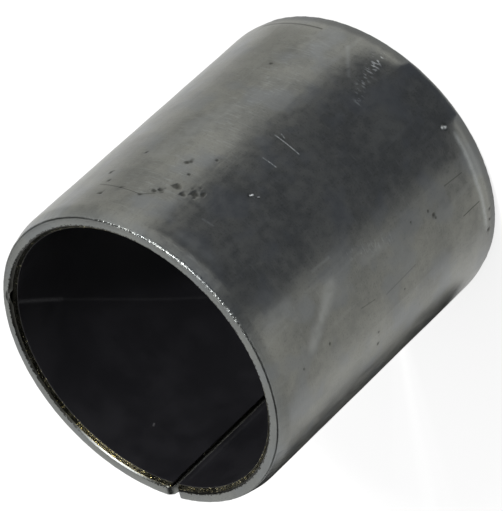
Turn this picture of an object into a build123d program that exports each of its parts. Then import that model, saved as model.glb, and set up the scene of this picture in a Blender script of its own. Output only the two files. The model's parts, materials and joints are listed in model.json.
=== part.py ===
from build123d import *
import math
import os

# A wrapped plain bearing bush. A flat strip of steel with a sintered bronze face and a thin black
# sliding skin is cut to length, bevelled along its edges and rolled into a tube, skin inwards.
# The two cut edges of the strip meet in a butt joint along the tube. The joint springs open by a small
# gap until the bush is pressed into its housing, so the free tube is a little wider than the housing.
# The bush stands on one end: +Z is the bore axis, and the joint faces +Y. All lengths are millimetres.

# Housing that the closed bush fills, and length of the tube
housing_diameter = 27.0
bush_length = 29.8

# Layers of the strip, from the outside in
steel_thickness = 1.20
bronze_thickness = 0.27
lining_thickness = 0.03

# Butt joint, measured on the free bush
joint_gap = 0.60
joint_corner_radius = 0.30
joint_edge_radius = 0.12

# Long shallow lead on the outside of both ends, which starts the bush into its housing
lead_length = 1.25
lead_angle = 12.5

# Short bevel at both ends of the bore, cut through the skin and the bronze into the steel
bevel_depth = 0.40
bevel_width = 0.43

# Room that the joint's cutting tool has beyond the ends and the walls of the tube
tool_overrun = 2.0

# Sizes that follow. The strip keeps its length when the joint opens, so the mean circle grows by the gap.
wall = steel_thickness + bronze_thickness + lining_thickness
outer_radius = (housing_diameter + joint_gap / math.pi) / 2
bore_radius = outer_radius - wall
lining_outer_radius = bore_radius + lining_thickness
bronze_outer_radius = lining_outer_radius + bronze_thickness
lead_drop = lead_length * math.tan(math.radians(lead_angle))


def wall_section():
    """Half section of the whole wall, with its leads and bevels, in the plane of the axis."""
    corners = [
        (bore_radius, bevel_depth),
        (bore_radius + bevel_width, 0),
        (outer_radius - lead_drop, 0),
        (outer_radius, lead_length),
        (outer_radius, bush_length - lead_length),
        (outer_radius - lead_drop, bush_length),
        (bore_radius + bevel_width, bush_length),
        (bore_radius, bush_length - bevel_depth),
    ]
    return Plane.XZ * make_face(Polyline(*corners, close=True))


def layer_band(inner, outer):
    """Strip of the section plane between two radii, as tall as the tube."""
    middle = (inner + outer) / 2
    return Plane.XZ * Pos(middle, bush_length / 2) * Rectangle(outer - inner, bush_length)


def joint_tool():
    """What the butt joint leaves out: a straight slot that flares at both ends round the strip's corners."""
    block_width = joint_gap + 2 * (joint_corner_radius + tool_overrun)
    slot = Pos(0, bush_length / 2) * Rectangle(joint_gap, bush_length + 2 * tool_overrun)
    below = Pos(0, -tool_overrun / 2) * Rectangle(block_width, tool_overrun)
    above = Pos(0, bush_length + tool_overrun / 2) * Rectangle(block_width, tool_overrun)
    outline = slot + below + above
    flares = [
        corner for corner in outline.vertices()
        if abs(abs(corner.X) - joint_gap / 2) < joint_gap / 100
    ]
    outline = fillet(flares, joint_corner_radius)
    depth = wall + 2 * tool_overrun
    start = Plane.XZ.offset(-(outer_radius + tool_overrun))
    return extrude(start * outline, amount=depth)


def rolled_layer(inner, outer):
    """One layer of the strip, rolled round the axis and left open at the joint."""
    section = wall_section() & layer_band(inner, outer)
    return revolve(section, Axis.Z, 360) - joint_tool()


def round_joint_edges(backing):
    """Rolls over the two long outer edges of the joint, as the blanking shear leaves them."""
    straight = backing.edges().filter_by(Axis.Z)
    outermost = [
        edge for edge in straight
        if math.hypot(edge.center().X, edge.center().Y) > outer_radius - joint_edge_radius
    ]
    return fillet(outermost, joint_edge_radius)


steel_backing = round_joint_edges(rolled_layer(bronze_outer_radius, outer_radius))
bronze_layer = rolled_layer(lining_outer_radius, bronze_outer_radius)
sliding_lining = rolled_layer(bore_radius, lining_outer_radius)

os.makedirs("parts", exist_ok=True)
export_step(steel_backing, "parts/steel_backing.step")
export_step(bronze_layer, "parts/bronze_layer.step")
export_step(sliding_lining, "parts/sliding_lining.step")
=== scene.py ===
import json
import math
import bpy
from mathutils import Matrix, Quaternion, Vector, noise


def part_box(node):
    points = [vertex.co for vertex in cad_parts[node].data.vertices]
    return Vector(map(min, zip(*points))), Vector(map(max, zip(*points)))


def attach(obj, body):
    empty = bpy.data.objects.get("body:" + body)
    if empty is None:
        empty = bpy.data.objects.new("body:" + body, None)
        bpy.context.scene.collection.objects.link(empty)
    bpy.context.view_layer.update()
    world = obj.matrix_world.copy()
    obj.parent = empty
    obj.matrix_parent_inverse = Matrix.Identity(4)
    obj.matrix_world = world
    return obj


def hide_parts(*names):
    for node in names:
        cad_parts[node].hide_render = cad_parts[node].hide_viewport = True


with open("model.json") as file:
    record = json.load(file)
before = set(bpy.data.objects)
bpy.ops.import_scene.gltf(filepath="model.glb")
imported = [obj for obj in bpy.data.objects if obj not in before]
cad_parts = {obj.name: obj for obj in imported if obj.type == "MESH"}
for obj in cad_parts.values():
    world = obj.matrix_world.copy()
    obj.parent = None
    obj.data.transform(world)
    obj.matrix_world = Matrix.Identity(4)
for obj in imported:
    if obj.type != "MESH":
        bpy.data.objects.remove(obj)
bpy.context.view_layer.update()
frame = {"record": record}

# Steel backing
# The outside of the bush is a strip of mild steel with a thin dull tin plating. The strip is bevelled
# along its edges and rolled into a tube, and its two ends meet in an open butt joint that faces +Y.

millimetre = 0.001
mounts = {mount["name"]: mount for mount in frame["record"]["mounts"]}
bush_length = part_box("steel_backing")[1][2]
outer_radius = mounts["outside"]["dims"]["r_mm"] * millimetre
bore_radius = mounts["bore"]["dims"]["r_mm"] * millimetre
bronze_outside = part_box("bronze_layer")[1][0]
lead_length = (bush_length - mounts["outside"]["dims"]["length_mm"] * millimetre) / 2
lead_angle = math.radians(12.5)
lead_drop = lead_length * math.tan(lead_angle)
bevel_depth = (bush_length - mounts["bore"]["dims"]["length_mm"] * millimetre) / 2
bevel_width = 0.43 * millimetre
joint_gap = 0.60 * millimetre
joint_angle = math.pi / 2
camera_azimuth = math.radians(-138.2)
same_place = 0.001 * millimetre
smooth_below = math.radians(28)


def show_only(piece):
    """Makes one piece the active and only selected one."""
    bpy.ops.object.select_all(action="DESELECT")
    piece.select_set(True)
    bpy.context.view_layer.objects.active = piece


def select_where(piece, kind, wanted):
    """Selects the vertices, edges or faces of a piece whose corners all pass a test, in edit mode."""
    bpy.ops.object.mode_set(mode="EDIT")
    bpy.ops.mesh.select_mode(type=kind)
    bpy.ops.mesh.select_all(action="DESELECT")
    bpy.ops.object.mode_set(mode="OBJECT")
    mesh = piece.data
    if kind == "VERT":
        for vertex in mesh.vertices:
            vertex.select = wanted(vertex.co)
    elif kind == "EDGE":
        for edge in mesh.edges:
            edge.select = all(wanted(mesh.vertices[v].co) for v in edge.vertices)
    else:
        for face in mesh.polygons:
            face.select = all(wanted(mesh.vertices[v].co) for v in face.vertices)
    bpy.ops.object.mode_set(mode="EDIT")


def roll_strip(name, inner, outer, columns, soften=(), divide=()):
    """A strip section on edge, bevelled as the blank is, then rolled round the axis up to the joint.
    Soften lists corners of the section with their bevels, divide lists tests for edges with their cuts."""
    bpy.ops.object.select_all(action="DESELECT")
    middle = ((inner + outer) / 2, 0, bush_length / 2)
    bpy.ops.mesh.primitive_plane_add(size=1, location=middle, rotation=(math.pi / 2, 0, 0))
    strip = bpy.context.object
    strip.name = name
    strip.scale = (outer - inner, bush_length, 1)
    bpy.ops.object.transform_apply(location=True, rotation=True, scale=True)
    bpy.ops.object.mode_set(mode="EDIT")
    for end, out in ((0, -1), (bush_length, 1)):
        lead = Vector((lead_length, 0, out * lead_drop)).normalized()
        bevel = Vector((-bevel_depth, 0, out * bevel_width)).normalized()
        for edge, normal in ((outer_radius - lead_drop, lead), (bore_radius + bevel_width, bevel)):
            bpy.ops.mesh.select_all(action="SELECT")
            bpy.ops.mesh.bisect(
                plane_co=(edge, 0, end), plane_no=normal, clear_outer=True, threshold=same_place / 10)
    for (x, z), radius in soften:
        select_where(strip, "VERT", lambda co: abs(co.x - x) < same_place and abs(co.z - z) < same_place)
        bpy.ops.mesh.bevel(affect="VERTICES", offset=radius, segments=4)
    for wanted, cuts in divide:
        select_where(strip, "EDGE", wanted)
        bpy.ops.mesh.subdivide(number_cuts=cuts)

    # Only the section's outline is rolled. The roll starts at +X and is then turned to the joint.
    bpy.ops.mesh.select_mode(type="FACE")
    bpy.ops.mesh.select_all(action="SELECT")
    bpy.ops.mesh.delete(type="ONLY_FACE")
    bpy.ops.object.mode_set(mode="OBJECT")
    half_gap = math.asin(joint_gap / 2 / outer_radius)
    roll = strip.modifiers.new("roll", "SCREW")
    roll.angle = 2 * math.pi - 2 * half_gap
    roll.steps = roll.render_steps = columns
    bpy.ops.object.modifier_apply(modifier="roll")
    far_end = strip.data.vertices[-1].co
    turned = 1 if far_end.y < 0 else -1
    strip.rotation_euler.z = joint_angle + turned * half_gap
    bpy.ops.object.transform_apply(rotation=True)

    # Both ends of the strip are made flat beside the joint's gap, and closed.
    near = math.pi / columns * outer_radius
    for side in (-1, 1):
        cut_face = side * joint_gap / 2
        select_where(strip, "VERT", lambda co: co.y > 0
                     and abs(co.x / math.hypot(co.x, co.y) * outer_radius - cut_face) < near)
        bpy.ops.transform.resize(value=(0, 1, 1), center_override=(cut_face, 0, 0))
        select_where(strip, "EDGE", lambda co: co.y > 0 and abs(co.x - cut_face) < same_place)
        bpy.ops.mesh.edge_face_add()
    bpy.ops.mesh.select_all(action="SELECT")
    bpy.ops.mesh.normals_make_consistent(inside=False)
    bpy.ops.object.mode_set(mode="OBJECT")
    bpy.ops.object.shade_smooth_by_angle(angle=smooth_below)
    return strip


lead_corner = 0.4 * millimetre
rim_corner = 0.17 * millimetre
bevel_corner = 0.05 * millimetre
steel_soften = []
for end, inward in ((0, 1), (bush_length, -1)):
    steel_soften.append(((outer_radius, end + inward * lead_length), lead_corner))
    steel_soften.append(((outer_radius - lead_drop, end), rim_corner))
    steel_soften.append(((bore_radius + bevel_width, end), bevel_corner))


def on_the_wall(co):
    """Tells the edge of the section that becomes the outside between the leads."""
    return abs(co.x - outer_radius) < same_place


steel = roll_strip(
    "steel_tube", bronze_outside, outer_radius, columns=480,
    soften=steel_soften, divide=[(on_the_wall, 90)])


def round_joint_corner(piece, side, end, radius):
    """Draws in one corner of the rolled strip, at one side of the joint and one end of the tube."""
    reach = 3 * millimetre
    inward = 1 if end == 0 else -1
    for vertex in piece.data.vertices:
        along = side * vertex.co.x - joint_gap / 2
        depth = abs(vertex.co.z - end)
        if vertex.co.y > 0 and -same_place < along < radius and depth < reach:
            drop = radius - math.sqrt(radius ** 2 - (radius - max(along, 0)) ** 2)
            vertex.co.z += inward * drop * (1 - depth / reach)


def press_pits(piece, pits):
    """Presses small ragged pits into the outside, where it is divided first, and marks their stain."""
    divided_reach = 1.3
    divided_margin = 0.25 * millimetre
    ragged = 0.7
    ragged_size = 0.34 * millimetre
    steepness = 1.5
    halo_strength = 0.16
    halo_reach = 2.4
    places = []
    for angle, depth, radius, sink in pits:
        turn = camera_azimuth + math.radians(angle)
        height = bush_length - depth * millimetre
        centre = Vector((outer_radius * math.cos(turn), outer_radius * math.sin(turn), height))
        places.append((centre, radius * millimetre, sink * millimetre))
    select_where(piece, "FACE", lambda co: any(
        (co - centre).length < divided_reach * radius + divided_margin for centre, radius, sink in places))
    bpy.ops.mesh.subdivide(number_cuts=3)
    bpy.ops.object.mode_set(mode="OBJECT")
    stain = piece.data.attributes.new("stain", "FLOAT", "POINT").data
    for index, vertex in enumerate(piece.data.vertices):
        for centre, radius, sink in places:
            reach = (vertex.co - centre).length
            if reach < 3 * radius:
                away = reach / radius * (1 + ragged * noise.noise(vertex.co / ragged_size))
                press = max(0, 1 - away ** 2)
                vertex.co.xy *= 1 - sink * press ** steepness / outer_radius
                halo = halo_strength * max(0, 1 - away / halo_reach)
                stain[index].value = max(stain[index].value, press, halo)


# The strip's four corners are rounded, and one at the open end is blunter than the others.
sharp_corner = 0.15 * millimetre
blunt_corner = 0.65 * millimetre
for side, end, radius in (
    (1, bush_length, blunt_corner), (-1, bush_length, sharp_corner),
    (1, 0, sharp_corner), (-1, 0, sharp_corner),
):
    round_joint_corner(steel, side, end, radius)

# The long outer edges of the joint are rolled over, as the shear leaves them.
joint_edge_radius = 0.12 * millimetre
select_where(steel, "EDGE", lambda co: co.y > 0 and abs(abs(co.x) - joint_gap / 2) < same_place
             and math.hypot(co.x, co.y) > outer_radius - lead_drop - same_place)
bpy.ops.mesh.bevel(offset=joint_edge_radius, segments=3)
bpy.ops.object.mode_set(mode="OBJECT")

# Pits and dents that were found on the outside: each has its angle from the camera's side in degrees, and
# its depth below the open end, its radius and its sink in millimetres.
press_pits(steel, [
    (34.7, 5.96, 0.46, 0.06), (38.4, 4.95, 0.34, 0.06), (39.8, 4.62, 0.26, 0.04), (31.1, 5.45, 0.32, 0.05),
    (28.2, 6.10, 0.50, 0.05), (26.0, 6.45, 0.32, 0.03), (57.2, 8.81, 0.24, 0.04), (39.6, 8.74, 0.26, 0.04),
    (38.6, 8.95, 0.20, 0.03), (35.2, 7.59, 0.18, 0.03), (31.9, 10.14, 0.18, 0.02), (59.5, 4.73, 0.24, 0.03),
    (63.1, 5.91, 0.28, 0.04), (57.0, 2.98, 0.30, 0.04), (51.7, 4.03, 0.22, 0.03), (43.0, 3.80, 0.22, 0.03),
    (-32.4, 22.16, 0.26, 0.04), (-29.8, 21.76, 0.20, 0.03), (-55.9, 28.34, 0.32, 0.05),
    (-52.0, 28.55, 0.22, 0.04), (-48.2, 28.75, 0.24, 0.04), (-12.0, 27.42, 0.34, 0.06),
    (14.8, 9.06, 0.20, 0.03), (12.6, 9.36, 0.15, 0.02),
    (-54.1, 13.06, 0.17, 0.02), (-59.1, 12.95, 0.17, 0.02), (-41.3, 7.12, 0.16, 0.02),
    (-41.3, 3.69, 0.15, 0.02), (-47.2, 16.82, 0.14, 0.02), (-28.4, 19.62, 0.14, 0.02),
    (-34.0, 22.27, 0.15, 0.02), (48.0, 22.4, 0.20, 0.03),
])

# The bore's bevel is cut wider on one side of the open end.
wide_angle = 128
wide_side = camera_azimuth + math.radians(wide_angle)
wide_spread = math.radians(38)
wide_extra = 0.20 * millimetre
corner_reach = 1.2 * bevel_corner
for vertex in steel.data.vertices:
    radius = math.hypot(vertex.co.x, vertex.co.y)
    on_the_end = vertex.co.z > bush_length - corner_reach
    on_the_edge = on_the_end and radius < bore_radius + bevel_width + corner_reach
    turned = math.atan2(vertex.co.y, vertex.co.x) - wide_side
    turned = abs((turned + math.pi) % (2 * math.pi) - math.pi) / wide_spread
    if on_the_edge and turned < 1:
        vertex.co.xy *= 1 + wide_extra * (1 - turned ** 2) / radius

# The rims are knocked about a little and the wall is not quite true: fine noise, always inwards. Each zone
# has its noise size and strength and the depths between which it lies, in millimetres.
length_mm = bush_length / millimetre
past_the_foot = 99
fade_mm = 0.3
past_the_bevel = bore_radius + 1.05 * bevel_width
for name, size, strength, low, high in (
    ("rim_knocks", 0.45, 0.07, -0.1, 1.1), ("foot_knocks", 0.45, 0.05, length_mm - 1.1, past_the_foot),
    ("wall_waves", 2.6, 0.035, 1.2, length_mm - 1.2),
):
    zone = steel.vertex_groups.new(name=name)
    for vertex in steel.data.vertices:
        depth = (bush_length - vertex.co.z) / millimetre
        radius = math.hypot(vertex.co.x, vertex.co.y)
        if low < depth < high and radius > past_the_bevel:
            fade = min(1, max(0, min(depth - low, high - depth) / fade_mm))
            zone.add([vertex.index], fade, "REPLACE")
    clouds = bpy.data.textures.new(name, "CLOUDS")
    clouds.noise_scale = size * millimetre
    clouds.noise_depth = 2
    knocks = steel.modifiers.new(name, "DISPLACE")
    knocks.texture = clouds
    knocks.texture_coords = "LOCAL"
    knocks.strength = strength * millimetre
    knocks.mid_level = 0.9
    knocks.vertex_group = name
    show_only(steel)
    bpy.ops.object.modifier_apply(modifier=name)

# The rim is chipped on its inside edge, a little over a quarter turn from the joint.
chip_angle = camera_azimuth + math.radians(123)
chip_reach = 0.8 * millimetre
chip_sink = 0.30 * millimetre
chip_limit = outer_radius - lead_drop - 0.2 * millimetre
chip_out = Vector((math.cos(chip_angle), math.sin(chip_angle), 0))
chip_centre = chip_out * (bore_radius + bevel_width) + Vector((0, 0, bush_length))
for vertex in steel.data.vertices:
    away = (vertex.co - chip_centre).length / chip_reach
    if away < 1 and math.hypot(vertex.co.x, vertex.co.y) < chip_limit:
        vertex.co += chip_out * chip_sink * (1 - away ** 2)


def add_math(tree, operation, first, second=0.0):
    """Works on one value, or joins two; either may be a number."""
    step = tree.nodes.new("ShaderNodeMath")
    step.operation = operation
    for socket, given in zip(step.inputs, (first, second)):
        if isinstance(given, (int, float)):
            socket.default_value = given
        else:
            tree.links.new(given, socket)
    return step.outputs[0]


def around_the_bush():
    """Node group: the place on the unrolled tube as arc length from the side opposite the joint, height
    and radius, then the radius alone, the distance to the nearer end, and a mask of the joint's faces."""
    group = bpy.data.node_groups.new("around_the_bush", "ShaderNodeTree")
    group.interface.new_socket("Unrolled", in_out="OUTPUT", socket_type="NodeSocketVector")
    for name in ("Radius", "End", "Joint"):
        group.interface.new_socket(name, in_out="OUTPUT", socket_type="NodeSocketFloat")
    nodes, link = group.nodes, group.links.new
    place = nodes.new("ShaderNodeTexCoord")
    parts = nodes.new("ShaderNodeSeparateXYZ")
    link(place.outputs["Object"], parts.inputs[0])
    x, y, z = parts.outputs
    angle = add_math(group, "ARCTAN2", x, add_math(group, "MULTIPLY", y, -1))
    arc = add_math(group, "MULTIPLY", angle, outer_radius)
    from_middle = add_math(group, "ABSOLUTE", add_math(group, "SUBTRACT", z, bush_length / 2))
    end = add_math(group, "SUBTRACT", bush_length / 2, from_middle)
    joint_reach = joint_gap / 2 + 0.02 * millimetre
    in_the_joint = add_math(group, "LESS_THAN", add_math(group, "ABSOLUTE", x), joint_reach)
    joint = add_math(group, "MULTIPLY", in_the_joint, add_math(group, "GREATER_THAN", y, 0))
    flat = nodes.new("ShaderNodeCombineXYZ")
    link(x, flat.inputs["X"])
    link(y, flat.inputs["Y"])
    length = nodes.new("ShaderNodeVectorMath")
    length.operation = "LENGTH"
    link(flat.outputs[0], length.inputs[0])
    unrolled = nodes.new("ShaderNodeCombineXYZ")
    link(arc, unrolled.inputs["X"])
    link(z, unrolled.inputs["Y"])
    link(length.outputs["Value"], unrolled.inputs["Z"])
    out = nodes.new("NodeGroupOutput")
    link(unrolled.outputs[0], out.inputs["Unrolled"])
    link(length.outputs["Value"], out.inputs["Radius"])
    link(end, out.inputs["End"])
    link(joint, out.inputs["Joint"])
    return group


def new_material(name, colour, metallic, roughness):
    """A material with its shader set plainly; patterns are linked in afterwards."""
    material = bpy.data.materials.new(name)
    material.use_nodes = True
    shader = material.node_tree.nodes["Principled BSDF"]
    shader.inputs["Base Color"].default_value = (*colour, 1)
    shader.inputs["Metallic"].default_value = metallic
    shader.inputs["Roughness"].default_value = roughness
    return material, shader


def scratch_line():
    """Node group: a soft line between two points of the unrolled surface, as a mask that fades from its
    level on the line to nothing at its width."""
    group = bpy.data.node_groups.new("scratch_line", "ShaderNodeTree")
    for name in ("Unrolled", "From", "To"):
        group.interface.new_socket(name, in_out="INPUT", socket_type="NodeSocketVector")
    for name in ("Width", "Level"):
        group.interface.new_socket(name, in_out="INPUT", socket_type="NodeSocketFloat")
    group.interface.new_socket("Mask", in_out="OUTPUT", socket_type="NodeSocketFloat")
    nodes, link = group.nodes, group.links.new
    given = nodes.new("NodeGroupInput")

    def vector_step(operation, first, second):
        step = nodes.new("ShaderNodeVectorMath")
        step.operation = operation
        link(first, step.inputs[0])
        link(second, step.inputs[1])
        return step

    flat = nodes.new("ShaderNodeVectorMath")
    flat.operation = "MULTIPLY"
    flat.inputs[1].default_value = (1, 1, 0)
    link(given.outputs["Unrolled"], flat.inputs[0])
    reach = vector_step("SUBTRACT", flat.outputs[0], given.outputs["From"])
    line = vector_step("SUBTRACT", given.outputs["To"], given.outputs["From"])
    along = vector_step("DOT_PRODUCT", reach.outputs[0], line.outputs[0])
    whole = vector_step("DOT_PRODUCT", line.outputs[0], line.outputs[0])
    share = nodes.new("ShaderNodeMath")
    share.operation = "DIVIDE"
    share.use_clamp = True
    link(along.outputs["Value"], share.inputs[0])
    link(whole.outputs["Value"], share.inputs[1])
    foot = nodes.new("ShaderNodeVectorMath")
    foot.operation = "SCALE"
    link(line.outputs[0], foot.inputs[0])
    link(share.outputs[0], foot.inputs["Scale"])
    gap = vector_step("DISTANCE", reach.outputs[0], foot.outputs[0])
    fade = nodes.new("ShaderNodeMapRange")
    fade.interpolation_type = "SMOOTHSTEP"
    link(gap.outputs["Value"], fade.inputs["Value"])
    link(given.outputs["Width"], fade.inputs["From Max"])
    link(given.outputs["Level"], fade.inputs["To Min"])
    fade.inputs["To Max"].default_value = 0
    out = nodes.new("NodeGroupOutput")
    link(fade.outputs[0], out.inputs["Mask"])
    return group


def unrolled_place(angle, depth):
    """The unrolled point at an angle in degrees from the camera's side and a depth in millimetres below
    the open end."""
    turn = camera_azimuth + math.radians(angle) + math.pi / 2
    turn = (turn + math.pi) % (2 * math.pi) - math.pi
    return (outer_radius * turn, bush_length - depth * millimetre, 0)


def add_scratches(tree, unrolled, strokes):
    """Places one line for each stroke and gives the mask of them all. A stroke has the angle and depth of
    both its ends, its width in millimetres and its level."""
    joined = None
    for first, last, width, level in strokes:
        stroke = tree.nodes.new("ShaderNodeGroup")
        stroke.node_tree = line_group
        stroke.inputs["From"].default_value = unrolled_place(*first)
        stroke.inputs["To"].default_value = unrolled_place(*last)
        stroke.inputs["Width"].default_value = width * millimetre
        stroke.inputs["Level"].default_value = level
        tree.links.new(unrolled, stroke.inputs["Unrolled"])
        mask = stroke.outputs["Mask"]
        joined = mask if joined is None else add_math(tree, "MAXIMUM", joined, mask)
    return joined


def add_noise(tree, vector, size, detail, stretch=(1, 1, 1)):
    """A noise of the given grain size in millimetres, on object or unrolled coordinates."""
    scaled = tree.nodes.new("ShaderNodeMapping")
    scaled.inputs["Scale"].default_value = [1 / (size * millimetre * s) for s in stretch]
    tree.links.new(vector, scaled.inputs["Vector"])
    grain = tree.nodes.new("ShaderNodeTexNoise")
    grain.inputs["Scale"].default_value = 1
    grain.inputs["Detail"].default_value = detail
    tree.links.new(scaled.outputs[0], grain.inputs["Vector"])
    return grain.outputs["Fac"]


def add_range(tree, value, low, high, to_low, to_high):
    """Maps a value smoothly from one range to another."""
    mapped = tree.nodes.new("ShaderNodeMapRange")
    mapped.interpolation_type = "SMOOTHSTEP"
    for name, number in (("From Min", low), ("From Max", high), ("To Min", to_low), ("To Max", to_high)):
        mapped.inputs[name].default_value = number
    tree.links.new(value, mapped.inputs["Value"])
    return mapped.outputs[0]


def scale_by(tree, mask, value, low, high, at_low, at_high=1):
    """Multiplies a mask by a share that goes smoothly from at_low to at_high as a value goes from low to
    high."""
    return add_math(tree, "MULTIPLY", mask, add_range(tree, value, low, high, at_low, at_high))


def add_tint(tree, mask, below, above):
    """Mixes two colours by a mask; either may be a colour or the output of an earlier mix."""
    mix = tree.nodes.new("ShaderNodeMix")
    mix.data_type = "RGBA"
    tree.links.new(mask, mix.inputs["Factor"])
    colour_sockets = mix.inputs[6:8]
    for socket, given in zip(colour_sockets, (below, above)):
        if isinstance(given, tuple):
            socket.default_value = (*given, 1)
        else:
            tree.links.new(given, socket)
    return mix.outputs[2]


def add_bump(tree, height, depth, below=None):
    """A bump of the given depth in millimetres, on top of an earlier bump."""
    bump = tree.nodes.new("ShaderNodeBump")
    bump.inputs["Distance"].default_value = depth * millimetre
    bump.inputs["Strength"].default_value = 1
    tree.links.new(height, bump.inputs["Height"])
    if below is not None:
        tree.links.new(below, bump.inputs["Normal"])
    return bump.outputs[0]


unroll_group = around_the_bush()
line_group = scratch_line()


def add_places(tree):
    """What patterns are laid on: the piece's own coordinates, and those of the unrolled tube."""
    own = tree.nodes.new("ShaderNodeTexCoord").outputs["Object"]
    around = tree.nodes.new("ShaderNodeGroup")
    around.node_tree = unroll_group
    return own, around.outputs


steel_finish, steel_shader = new_material("dull_tin_plating", (0.21, 0.21, 0.195), 1, 0.42)
steel_tree = steel_finish.node_tree
steel_place, steel_around = add_places(steel_tree)
unrolled = steel_around["Unrolled"]

tin_light = (0.212, 0.214, 0.193)
tin_dark = (0.155, 0.158, 0.146)
tin_pale = (0.255, 0.262, 0.250)
tin_cool = (0.182, 0.195, 0.199)
tin_blued = (0.174, 0.184, 0.189)
tin_shade = (0.10, 0.10, 0.09)
# The worn tint also lightens the rubbed rim corner as a painted highlight.
tin_worn_and_highlight = (0.38, 0.41, 0.41)
tin_bright = (0.80, 0.84, 0.84)
# The grime tint also carries painted shade: the dark strokes at the far lead's corner and the joint's
# faces.
grime_and_shade = (0.030, 0.030, 0.025)
broad = add_noise(steel_tree, steel_place, size=4.5, detail=3)
mottle = add_noise(steel_tree, steel_place, size=0.8, detail=6)
fine_grain = add_noise(steel_tree, steel_place, size=0.16, detail=3)
hue_clouds = add_noise(steel_tree, steel_place, size=3.1, detail=2)
soft_waves = add_noise(steel_tree, steel_place, size=2.3, detail=1)
rim_grain = add_noise(steel_tree, steel_place, size=0.20, detail=3)
draw_lines = add_noise(steel_tree, unrolled, size=0.55, detail=4, stretch=(1, 12, 1))
ripples = add_noise(steel_tree, unrolled, size=0.13, detail=3, stretch=(7, 1, 1))
ticks = add_noise(steel_tree, unrolled, size=0.15, detail=1, stretch=(3.2, 1, 1))
broad_share = 0.64
patches = add_math(steel_tree, "ADD", add_math(steel_tree, "MULTIPLY", broad, broad_share),
                   add_math(steel_tree, "MULTIPLY", mottle, 1 - broad_share))
tone = add_tint(steel_tree, add_range(steel_tree, patches, 0.36, 0.62, 0, 1), tin_dark, tin_light)
for pattern, low, high, share, tint in (
    (fine_grain, 0.50, 0.75, 0.22, grime_and_shade), (ripples, 0.56, 0.80, 0.35, tin_pale),
    (draw_lines, 0.56, 0.75, 0.22, tin_pale), (hue_clouds, 0.48, 0.66, 0.55, tin_blued),
):
    tone = add_tint(steel_tree, add_range(steel_tree, pattern, low, high, 0, share), tone, tint)
cool_ends = add_range(steel_tree, steel_around["End"], 0.1 * millimetre, 1.4 * millimetre, 0.36, 0)
tone = add_tint(steel_tree, cool_ends, tone, tin_cool)

# Scratches, scuffs and shades that were found on the outside, with painted highlights and painted shade
# among them.
# Each stroke has the angle from the camera's side and the depth below the open end of both its ends, then
# its width in millimetres and its level.
# Of the bright strokes, those at 14.9, 12.8 and -11.8 degrees lie on dents and are painted glints, and the
# one along 27.95 mm is a painted highlight on the far lead's corner.
scratches_and_glints = [
    ((24.5, 15.31), (14.0, 15.12), 0.08, 0.40), ((21.4, 12.73), (16.0, 12.72), 0.08, 0.34),
    ((23.2, 15.74), (21.4, 15.57), 0.08, 0.30), ((14.9, 9.00), (14.4, 9.20), 0.14, 0.62),
    ((12.8, 9.33), (12.5, 9.42), 0.11, 0.45), ((19.7, 4.40), (15.8, 4.48), 0.16, 0.12),
    ((-17.0, 8.5), (-17.4, 10.6), 0.22, 0.08), ((-11.8, 27.3), (-12.4, 27.6), 0.24, 0.55),
    ((-18.0, 27.95), (-52.0, 27.95), 0.42, 0.10),
]
chatter_track = [
    ((20.0, 28.0), (18.6, 26.4), 0.8, 0.36), ((18.6, 26.4), (17.2, 24.4), 0.7, 0.24),
    ((17.2, 24.4), (13.4, 22.9), 0.6, 0.20), ((-21.5, 12.2), (-27.0, 16.8), 0.8, 0.07),
]
# The last two pale strokes, along the far lead's corner, are a painted highlight.
pale_strokes = [
    ((30.8, 27.2), (26.0, 25.6), 0.30, 0.7), ((26.0, 25.6), (22.3, 24.5), 0.26, 0.7),
    ((20.0, 1.9), (9.0, 2.1), 0.9, 0.8), ((-25.0, 9.4), (-36.5, 5.3), 1.0, 1.0),
    ((-20.0, 2.2), (-19.0, 4.8), 1.1, 0.7), ((-26.6, 13.8), (-27.6, 16.0), 0.7, 0.6),
    ((52.0, 9.0), (46.0, 16.0), 1.6, 0.5), ((-16.3, 28.05), (-35.0, 27.80), 0.34, 1.0),
    ((-35.0, 27.80), (-55.0, 28.1), 0.34, 0.8),
]
shade_strokes = [
    ((-26.5, 7.6), (-36.5, 4.6), 0.7, 0.45), ((-21.0, 11.5), (-17.5, 15.0), 0.7, 0.25),
    ((-33.0, 18.5), (-30.0, 27.0), 1.5, 0.35), ((64.0, 21.0), (56.0, 27.0), 2.0, 0.35),
    ((40.0, 6.0), (27.0, 7.0), 1.4, 0.30), ((73.0, 3.0), (70.0, 14.0), 0.8, 0.25),
    ((-20.0, 26.6), (-48.0, 26.7), 1.2, 0.5),
]
# The last two dark strokes, along the far lead's corner between 44 and 71 degrees, are painted shade.
dark_strokes = [
    ((61.8, 4.24), (52.1, 4.01), 0.10, 0.6), ((52.1, 4.01), (42.9, 3.78), 0.08, 0.6),
    ((42.9, 3.78), (38.9, 4.42), 0.11, 0.5), ((-41.7, 25.36), (-41.8, 27.54), 0.08, 0.8),
    ((-27.3, 24.42), (-28.1, 26.68), 0.08, 0.5), ((-43.0, 14.6), (-42.4, 18.6), 0.09, 0.35),
    ((-39.8, 11.5), (-41.0, 13.2), 0.09, 0.4), ((71.0, 28.25), (58.0, 28.15), 0.16, 0.8),
    ((58.0, 28.15), (44.0, 28.05), 0.14, 0.75),
]
dash_zone = [((43, 4.5), (43, 25.0), 4.6, 1.0)]
scratch_and_glint_mask = add_scratches(steel_tree, unrolled, scratches_and_glints)
scratch_and_glint_mask = scale_by(steel_tree, scratch_and_glint_mask, fine_grain, 0.35, 0.55, 0.4)
chatter = add_scratches(steel_tree, unrolled, chatter_track)
chatter = scale_by(steel_tree, chatter, ticks, 0.54, 0.64, 0)
scratch_and_glint_mask = add_math(steel_tree, "MAXIMUM", scratch_and_glint_mask, chatter)
pale_mask = add_scratches(steel_tree, unrolled, pale_strokes)
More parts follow.
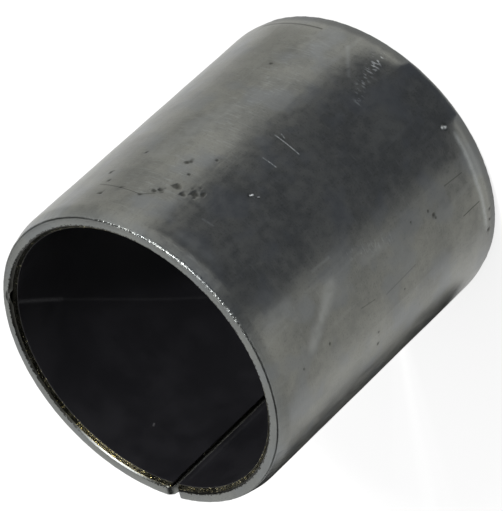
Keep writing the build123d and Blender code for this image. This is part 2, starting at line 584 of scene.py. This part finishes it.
pale_mask = scale_by(steel_tree, pale_mask, mottle, 0.35, 0.6, 0.6)
shade_mask = add_scratches(steel_tree, unrolled, shade_strokes)
shade_mask = scale_by(steel_tree, shade_mask, mottle, 0.6, 0.35, 0.5)
dark_mask = add_scratches(steel_tree, unrolled, dark_strokes)
dash_mask = add_scratches(steel_tree, unrolled, dash_zone)
dash_mask = scale_by(steel_tree, dash_mask, ripples, 0.52, 0.68, 0, 0.13)
stain_mark = steel_tree.nodes.new("ShaderNodeAttribute")
stain_mark.attribute_name = "stain"
stain_level = 0.78
stain_mask = add_math(steel_tree, "MULTIPLY", stain_mark.outputs["Fac"], stain_level)

# Both rims: the outer corner is rubbed on one side and lightened there as a painted highlight, and the
# bevel's edge is smeared with the dark lining. The smear follows the wide side of the bevel, and it is worn
# off at one place.
unrolled_parts = steel_tree.nodes.new("ShaderNodeSeparateXYZ")
steel_tree.links.new(unrolled, unrolled_parts.inputs[0])


def arc_from(angle):
    """The distance along the wall, either way, from a place at an angle from the camera's side."""
    aside = add_math(steel_tree, "SUBTRACT", unrolled_parts.outputs["X"], unrolled_place(angle, 0)[0])
    return add_math(steel_tree, "ABSOLUTE", aside)


rim_highlight_angle = 14
clean_angle = 200
smear_level = 0.94
joint_shade_level = 0.8
rim_radius = outer_radius - lead_drop
from_rim = add_math(steel_tree, "SUBTRACT", steel_around["Radius"], rim_radius)
from_rim = add_math(steel_tree, "POWER", from_rim, 2)
from_end = add_math(steel_tree, "POWER", steel_around["End"], 2)
rim_distance = add_math(steel_tree, "SQRT", add_math(steel_tree, "ADD", from_rim, from_end))
rim_wear_and_highlight = add_range(steel_tree, rim_distance, 0.08 * millimetre, 0.28 * millimetre, 1, 0)
rim_wear_and_highlight = scale_by(steel_tree, rim_wear_and_highlight, rim_grain, 0.42, 0.62, 0.1, 0.8)
rim_wear_and_highlight = scale_by(steel_tree, rim_wear_and_highlight, arc_from(rim_highlight_angle), 5 * millimetre, 11 * millimetre, 1, 0.15)
smear_reach = add_range(steel_tree, rim_grain, 0.2, 0.8, -0.10 * millimetre, 0.16 * millimetre)
wide_arc = wide_spread * outer_radius
wide_reach = add_range(steel_tree, arc_from(wide_angle), 0.15 * wide_arc, wide_arc, wide_extra, 0)
smear_edge = add_math(steel_tree, "ADD", smear_reach, wide_reach)
smear_edge = add_math(steel_tree, "ADD", smear_edge, bore_radius + bevel_width)
smear_and_joint_shade = add_math(steel_tree, "LESS_THAN", steel_around["Radius"], smear_edge)
smear_and_joint_shade = scale_by(steel_tree, smear_and_joint_shade, arc_from(clean_angle), 2.2 * millimetre, 5 * millimetre, 0.1)
# The joint's faces are darkened too, partly dirt and partly painted shade.
smear_and_joint_shade = add_math(steel_tree, "MAXIMUM", add_math(steel_tree, "MULTIPLY", smear_and_joint_shade, smear_level),
                   add_math(steel_tree, "MULTIPLY", steel_around["Joint"], joint_shade_level))

shade_level = 0.6
rim_highlight_level = 0.5
shaded = add_math(steel_tree, "MULTIPLY", shade_mask, shade_level)
# Painted highlight: the rubbed rim corner is lightened with the worn tint.
painted_rim_highlight = add_math(steel_tree, "MULTIPLY", rim_wear_and_highlight, rim_highlight_level)
for mask, tint in (
    (dash_mask, tin_worn_and_highlight), (pale_mask, tin_pale), (shaded, tin_shade), (painted_rim_highlight, tin_worn_and_highlight),
    (dark_mask, grime_and_shade), (stain_mask, grime_and_shade), (smear_and_joint_shade, grime_and_shade), (scratch_and_glint_mask, tin_bright),
):
    tone = add_tint(steel_tree, mask, tone, tint)
steel_tree.links.new(tone, steel_shader.inputs["Base Color"])

scored_roughness = 0.7
polish_gain = 0.22
dullness = add_range(steel_tree, mottle, 0.3, 0.7, 0.33, 0.385)
scored = add_math(steel_tree, "MAXIMUM", stain_mask, scratch_and_glint_mask)
scored = add_math(steel_tree, "MULTIPLY", scored, scored_roughness)
dullness = add_math(steel_tree, "MAXIMUM", dullness, scored)
polish = add_math(steel_tree, "MULTIPLY", rim_wear_and_highlight, polish_gain)
steel_tree.links.new(add_math(steel_tree, "SUBTRACT", dullness, polish), steel_shader.inputs["Roughness"])
steel_tree.links.new(add_range(steel_tree, scratch_and_glint_mask, 0, 1, 1, 0.3), steel_shader.inputs["Metallic"])
rubbed_relief = add_math(steel_tree, "MULTIPLY", rim_wear_and_highlight, rim_grain)
surface = None
for pattern, depth in (
    (soft_waves, 0.034), (draw_lines, 0.014), (ripples, 0.006), (rubbed_relief, 0.06), (fine_grain, 0.004),
):
    surface = add_bump(steel_tree, pattern, depth, surface)
steel_tree.links.new(surface, steel_shader.inputs["Normal"])
steel.data.materials.append(steel_finish)
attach(steel, "root")
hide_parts("steel_backing")

# Bronze bed
# Bronze powder is sintered onto the strip, and the sliding layer is rolled into its pores. It shows as a
# thin grainy ring where the bevels at both ends of the bore cut through it.

lining_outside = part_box("sliding_lining")[1][0]


def on_the_bevel(co):
    """Tells the edges of the section that the bevels have cut."""
    return co.z < bevel_depth + same_place or co.z > bush_length - bevel_depth - same_place


bronze = roll_strip("bronze_bed", lining_outside, bronze_outside, columns=840, divide=[(on_the_bevel, 6)])
grain_zone = bronze.vertex_groups.new(name="grains")
for vertex in bronze.data.vertices:
    radius = math.hypot(vertex.co.x, vertex.co.y)
    if lining_outside + same_place < radius < bronze_outside - same_place:
        grain_zone.add([vertex.index], 1, "REPLACE")
grain_cloud = bpy.data.textures.new("bronze_grains", "CLOUDS")
grain_cloud.noise_scale = 0.14 * millimetre
grain_cloud.noise_depth = 1
grains = bronze.modifiers.new("grains", "DISPLACE")
grains.texture = grain_cloud
grains.texture_coords = "LOCAL"
grains.strength = 0.05 * millimetre
grains.mid_level = 0.8
grains.vertex_group = "grains"
show_only(bronze)
bpy.ops.object.modifier_apply(modifier="grains")

bronze_finish, bronze_shader = new_material("sintered_bronze_grains", (0.10, 0.09, 0.055), 1, 0.4)
bronze_tree = bronze_finish.node_tree
bronze_place, bronze_around = add_places(bronze_tree)
bronze_bare = (0.78, 0.71, 0.45)
pasted_dark = (0.045, 0.043, 0.032)
pasted_pale = (0.16, 0.155, 0.115)
painted_glow_paste = (0.50, 0.47, 0.34)
pasted_black = (0.02, 0.02, 0.015)
joint_shade_black = (0.012, 0.012, 0.010)
grain_size = 0.13 * millimetre
cells = bronze_tree.nodes.new("ShaderNodeTexVoronoi")
cells.inputs["Scale"].default_value = 1 / grain_size
bronze_tree.links.new(bronze_place, cells.inputs["Vector"])
cell_parts = bronze_tree.nodes.new("ShaderNodeSeparateColor")
bronze_tree.links.new(cells.outputs["Color"], cell_parts.inputs[0])

# Part of the ring has a paler paste as a painted glow, with more bare grains, and part of it is darker
# than the rest, with fewer.
glow_grain_gain = 0.3
dark_loss = 0.14
dark_level = 0.9
glow_part = add_scratches(bronze_tree, bronze_around["Unrolled"], [((191, 0.2), (206, 0.2), 2.8, 1.0)])
dark_part = add_scratches(bronze_tree, bronze_around["Unrolled"], [((85, 0.2), (140, 0.2), 7.0, 1.0)])
more_grains = add_math(bronze_tree, "MULTIPLY", glow_part, glow_grain_gain)
fewer_grains = add_math(bronze_tree, "MULTIPLY", dark_part, dark_loss)
grain_value = add_math(bronze_tree, "ADD", cell_parts.outputs[0], more_grains)
grain_value = add_math(bronze_tree, "SUBTRACT", grain_value, fewer_grains)
bare_grain = add_range(bronze_tree, grain_value, 0.80, 0.90, 0, 1)
dark_part = add_math(bronze_tree, "MULTIPLY", dark_part, dark_level)
smear = add_noise(bronze_tree, bronze_place, size=1.1, detail=2)
smear = add_range(bronze_tree, smear, 0.35, 0.65, 0, 1)
bronze_tone = add_tint(bronze_tree, smear, pasted_dark, pasted_pale)
for mask, tint in (
    # The clean part's pale paste is a painted glow.
    (glow_part, painted_glow_paste), (dark_part, pasted_black), (bare_grain, bronze_bare),
    # The joint's faces are darkened, partly dirt and partly painted shade.
    (bronze_around["Joint"], joint_shade_black),
):
    bronze_tone = add_tint(bronze_tree, mask, bronze_tone, tint)
bronze_dullness = add_range(bronze_tree, bare_grain, 0, 1, 0.42, 0.22)
bronze_surface = add_bump(bronze_tree, cells.outputs["Distance"], 0.014)
bronze_tree.links.new(bronze_tone, bronze_shader.inputs["Base Color"])
bronze_tree.links.new(bronze_dullness, bronze_shader.inputs["Roughness"])
bronze_tree.links.new(bronze_surface, bronze_shader.inputs["Normal"])
bronze.data.materials.append(bronze_finish)
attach(bronze, "root")
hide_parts("bronze_layer")

# Sliding lining
# A skin of filled PTFE, a few hundredths of a millimetre thick, covers the bronze and is what the shaft
# slides on. It is rolled onto the flat strip, and it is near black and faintly glossy.
lining = roll_strip("lining_skin", bore_radius, lining_outside, columns=360)
lining_finish, lining_shader = new_material("black_sliding_skin", (0.011, 0.011, 0.0125), 0, 0.45)
lining_tree = lining_finish.node_tree
lining_place, lining_around = add_places(lining_tree)
skin_dark = (0.0056, 0.0055, 0.0068)
skin_pale = (0.0074, 0.0072, 0.0090)
skin_rub_and_reflection = (0.06, 0.06, 0.062)
cloudy = add_noise(lining_tree, lining_place, size=3.0, detail=4)
speckle = add_noise(lining_tree, lining_place, size=0.15, detail=2)
# The pale marks on the skin include a painted reflection: the line from the chipped rim across the bore.
rubs_and_reflections = add_scratches(lining_tree, lining_around["Unrolled"], [
    ((126, 0.6), (140, 5.2), 0.30, 0.55), ((140, 5.2), (181, 18.2), 0.22, 0.16),
    ((202.2, 4.7), (201.8, 4.9), 0.14, 1), ((232.0, 1.2), (231.4, 22.0), 0.25, 0.12),
])
rubs_and_reflections = scale_by(lining_tree, rubs_and_reflections, speckle, 0.35, 0.65, 0.4)
skin_tone = add_tint(lining_tree, add_range(lining_tree, cloudy, 0.35, 0.7, 0, 1), skin_dark, skin_pale)
skin_tone = add_tint(lining_tree, rubs_and_reflections, skin_tone, skin_rub_and_reflection)
skin_edge = add_range(lining_tree, lining_around["End"], 0.9 * bevel_depth, 1.3 * bevel_depth, 1, 0)
skin_dullness = add_range(lining_tree, cloudy, 0.3, 0.7, 0.40, 0.52)
skin_dullness = add_math(lining_tree, "MAXIMUM", skin_dullness, skin_edge)
lining_tree.links.new(skin_tone, lining_shader.inputs["Base Color"])
lining_tree.links.new(skin_dullness, lining_shader.inputs["Roughness"])
lining_tree.links.new(add_bump(lining_tree, speckle, 0.004), lining_shader.inputs["Normal"])
lining_shader.inputs["Specular IOR Level"].default_value = 0.37
lining.data.materials.append(lining_finish)
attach(lining, "root")
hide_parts("sliding_lining")

# Floor
# A plain floor of pale paper. It shows white to the camera and in the metal, and it keeps the shadow of
# the bush.
floor_size = 3.0
paper_tone = (0.8, 0.8, 0.8, 1)
white_share = 0.75
bpy.ops.object.select_all(action="DESELECT")
bpy.ops.mesh.primitive_plane_add(size=floor_size, location=(0, 0, 0))
floor = bpy.context.object
floor.name = "floor"
paper = bpy.data.materials.new("white_paper")
paper.use_nodes = True
paper_tree = paper.node_tree
paper_tree.nodes.clear()
paper_lit = paper_tree.nodes.new("ShaderNodeBsdfDiffuse")
paper_lit.inputs["Color"].default_value = paper_tone
paper_white = paper_tree.nodes.new("ShaderNodeEmission")
paper_white.inputs["Strength"].default_value = 1
paper_mix = paper_tree.nodes.new("ShaderNodeMixShader")
paper_out = paper_tree.nodes.new("ShaderNodeOutputMaterial")
ray = paper_tree.nodes.new("ShaderNodeLightPath")
seen = add_math(paper_tree, "MAXIMUM", ray.outputs["Is Camera Ray"], ray.outputs["Is Glossy Ray"])
seen = add_math(paper_tree, "MAXIMUM", seen, ray.outputs["Is Transmission Ray"])
seen_white = add_math(paper_tree, "MULTIPLY", seen, white_share)
paper_tree.links.new(seen_white, paper_mix.inputs["Fac"])
paper_tree.links.new(paper_lit.outputs[0], paper_mix.inputs[1])
paper_tree.links.new(paper_white.outputs[0], paper_mix.inputs[2])
paper_tree.links.new(paper_mix.outputs[0], paper_out.inputs["Surface"])
floor.data.materials.append(paper)

# Cards
# Dark and pale boards lie on the floor round the bush and inside it, and three dark ones stand round it at
# a distance. Only the metal sees them. It mirrors the dark ones as the band that faces the camera, the far
# flank and the shade under the lower lead.

camera_elevation = math.radians(36.8)
floor_card_inset = 0.2 * millimetre
standing_distance = 0.30
low_card_top = 0.10
high_card_top = 1.0
side_tone = (0.02, 0.02, 0.02)


def hide_card(card, name, tone):
    """Gives a card its tone, and lets only the metal see it."""
    card.name = name
    finish, shader = new_material(name, (0, 0, 0), 0, 1)
    shader.inputs["Specular IOR Level"].default_value = 0
    shader.inputs["Emission Color"].default_value = (*tone, 1)
    shader.inputs["Emission Strength"].default_value = 1
    card.data.materials.append(finish)
    card.visible_camera = False
    card.visible_diffuse = False
    card.visible_shadow = False


def lay_card(name, tone, lift, outline):
    """A card just above the floor, cut to what the wall mirrors to the camera. Each row of its outline
    holds a height on the wall in millimetres and the angles from the camera's side where it is seen."""
    rows = len(outline) - 1
    foot = outer_radius - floor_card_inset
    bpy.ops.object.select_all(action="DESELECT")
    bpy.ops.mesh.primitive_grid_add(x_subdivisions=16, y_subdivisions=rows, size=1)
    card = bpy.context.object
    for vertex in card.data.vertices:
        height, left, right = outline[round((vertex.co.y + 0.5) * rows)]
        angle = math.radians(left + (right - left) * (vertex.co.x + 0.5))
        reach = height * millimetre / math.tan(camera_elevation)
        vertex.co = (
            foot * math.cos(camera_azimuth + angle) + reach * math.cos(camera_azimuth + 2 * angle),
            foot * math.sin(camera_azimuth + angle) + reach * math.sin(camera_azimuth + 2 * angle),
            lift * millimetre)
    hide_card(card, name, tone)


def lay_disc(name, tone, lift, radius):
    """A round card on the floor under the bush."""
    bpy.ops.object.select_all(action="DESELECT")
    middle = (0, 0, lift * millimetre)
    bpy.ops.mesh.primitive_circle_add(vertices=128, radius=radius, fill_type="NGON", location=middle)
    bpy.ops.object.transform_apply(location=True)
    hide_card(bpy.context.object, name, tone)


def stand_card(name, tone, first, last, low, high):
    """An upright curved card between two angles from the camera's side and two heights."""
    bpy.ops.object.select_all(action="DESELECT")
    bpy.ops.mesh.primitive_grid_add(x_subdivisions=16, y_subdivisions=1, size=1)
    card = bpy.context.object
    for vertex in card.data.vertices:
        angle = camera_azimuth + math.radians(first + (last - first) * (vertex.co.x + 0.5))
        height = low + (high - low) * (vertex.co.y + 0.5)
        vertex.co = (standing_distance * math.cos(angle), standing_distance * math.sin(angle), height)
    hide_card(card, name, tone)


lay_card("front_card", (0.184, 0.196, 0.228), 0.2, [
    (0, -12, 12), (1.2, -14, 14), (2.4, -24, 26), (8, -21, 30), (16, -19, 32), (26, -16, 31), (60, -14, 29),
    (200, -14, 29),
])
lay_card("front_edge_card", (0.55, 0.56, 0.58), 0.15, [
    (1.6, -20, 0), (2.4, -36, 0), (8, -32, 0), (16, -27, 0), (26, -22, 0), (60, -19, 0), (200, -19, 0),
])
lay_card("flank_card", (0.008, 0.009, 0.010), 0.15, [
    (4.5, -84, -69), (8, -88, -66), (30, -90, -66), (200, -90, -66),
])
lay_card("left_card", (0.72, 0.72, 0.70), 0.1, [(2, 44, 64), (12, 44, 64), (200, 44, 62)])
lay_card("right_card", (0.76, 0.76, 0.75), 0.1, [(2, -54, -30), (12, -52, -28), (200, -50, -25)])
stand_card("low_front_card", (0.06, 0.07, 0.08), -56, 2, 0, low_card_top)
stand_card("right_side_card", side_tone, -150, -8, low_card_top, high_card_top)
stand_card("left_side_card", side_tone, 80, 165, low_card_top, high_card_top)
lay_disc("bore_card", (0.02, 0.022, 0.028), 0.1, bore_radius - millimetre)
lay_disc("skirt_card", (0.60, 0.60, 0.60), 0.05, outer_radius + 0.35 * millimetre)

# Lights
# A soft room light from all round, and a small softbox with a smaller lamp beside it, both above the
# camera and to one side of it. They glint in the rounded edges.
room_strength = 1.15
room = bpy.data.worlds.new("studio")
bpy.context.scene.world = room
room.use_nodes = True
room_nodes, room_link = room.node_tree.nodes, room.node_tree.links.new
backdrop = room_nodes["Background"]
backdrop.inputs["Color"].default_value = (1, 1, 1, 1)
room_ray = room_nodes.new("ShaderNodeLightPath")
room_map = room_nodes.new("ShaderNodeMapRange")
room_map.inputs["To Min"].default_value = room_strength
room_map.inputs["To Max"].default_value = 1
room_link(room_ray.outputs["Is Camera Ray"], room_map.inputs["Value"])
room_link(room_map.outputs[0], backdrop.inputs["Strength"])
lamp_distance = 0.6


def add_softbox(name, azimuth, elevation, size, power):
    """A square lamp that faces the bush, placed by its angles from the camera's side and the floor."""
    lamp_data = bpy.data.lights.new(name, "AREA")
    lamp_data.size = size
    lamp_data.energy = power
    lamp = bpy.data.objects.new(name, lamp_data)
    bpy.context.scene.collection.objects.link(lamp)
    turn = camera_azimuth + math.radians(azimuth)
    rise = math.radians(elevation)
    out = Vector((math.cos(rise) * math.cos(turn), math.cos(rise) * math.sin(turn), math.sin(rise)))
    lamp.location = Vector((0, 0, bush_length / 2)) + out * lamp_distance
    lamp.rotation_mode = "QUATERNION"
    lamp.rotation_quaternion = (-out).to_track_quat("-Z", "Y")


add_softbox("key_softbox", azimuth=43, elevation=49, size=0.12, power=3.0)
add_softbox("glint_lamp", azimuth=44, elevation=50, size=0.03, power=1.2)

# Camera
# It looks at the bush from the photograph's side, well above the open end, and is rolled as that view is.
# A long lens gives the slight perspective that was fitted to the photograph.
camera_distance = 370.9 * millimetre
camera_roll = math.radians(-132.88)
camera_lens = 330.0
camera_film = 36.0
nearest_seen = 10 * millimetre
aim_height = 14.79 * millimetre
aim_aside = 0.06 * millimetre
aim = Vector((-aim_aside * math.sin(camera_azimuth), aim_aside * math.cos(camera_azimuth), aim_height))
towards_camera = Vector((
    math.cos(camera_elevation) * math.cos(camera_azimuth),
    math.cos(camera_elevation) * math.sin(camera_azimuth),
    math.sin(camera_elevation),
))
camera_data = bpy.data.cameras.new("camera")
camera_data.lens = camera_lens
camera_data.sensor_width = camera_film
camera_data.clip_start = nearest_seen
camera = bpy.data.objects.new("camera", camera_data)
bpy.context.scene.collection.objects.link(camera)
camera.location = aim + towards_camera * camera_distance
camera.rotation_mode = "QUATERNION"
level = (-towards_camera).to_track_quat("-Z", "Y")
camera.rotation_quaternion = level @ Quaternion((0, 0, 1), camera_roll)
bpy.context.scene.camera = camera

bpy.context.scene.view_settings.view_transform = "Standard"
